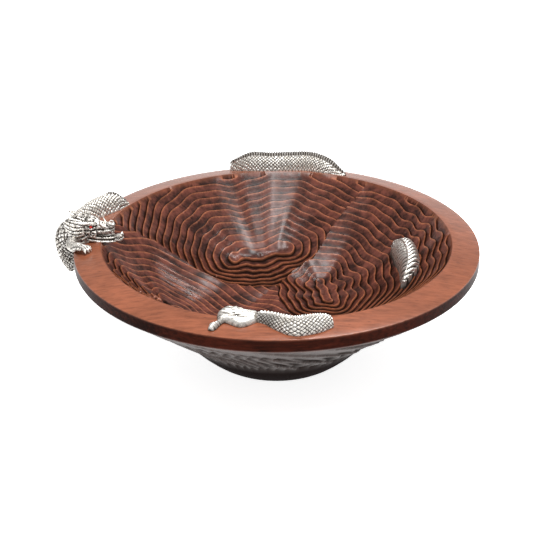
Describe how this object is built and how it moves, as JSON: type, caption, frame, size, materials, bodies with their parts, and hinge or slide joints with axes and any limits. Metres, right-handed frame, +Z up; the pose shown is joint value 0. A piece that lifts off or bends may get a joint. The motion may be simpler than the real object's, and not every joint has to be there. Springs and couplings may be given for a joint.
{
  "type": "carved wooden bowl with cast dragon",
  "caption": "Wide footed wooden bowl with a wavy carved hollow and a cast metal dragon that dips in and out of the wood around its rim.",
  "frame": {"origin": "centre of the flat foot, on the surface that the bowl stands on", "axes": "+Z up through the bowl's mouth, the dragon's head at -X, its tail at -Y (the front)"},
  "size_m": [0.4841, 0.46, 0.1784],
  "materials": {
    "wood": "polished reddish brown mango wood, carved hollow",
    "silver_casting": "bright polished casting with dark recesses",
    "silver_fin": "bright polished smooth casting",
    "silver_wire": "bright polished thin casting",
    "red_stone": "glossy red stone",
    "screw_steel": "plain steel"
  },
  "bodies": {
    "root": {"bowl_body": "wood", "neck_coil": "silver_casting", "head": "silver_casting", "lower_jaw": "silver_casting", "foreleg_near": "silver_casting", "foreleg_far": "silver_casting", "horns": "silver_wire", "whiskers": "silver_wire", "eye_stones": "red_stone", "left_hump": "silver_casting", "back_coil": "silver_casting", "right_hump": "silver_casting", "tail_body": "silver_casting", "tail_fin": "silver_fin", "casting_screws": "screw_steel", "screw_washers": "screw_steel"}
  },
  "joints": []
}
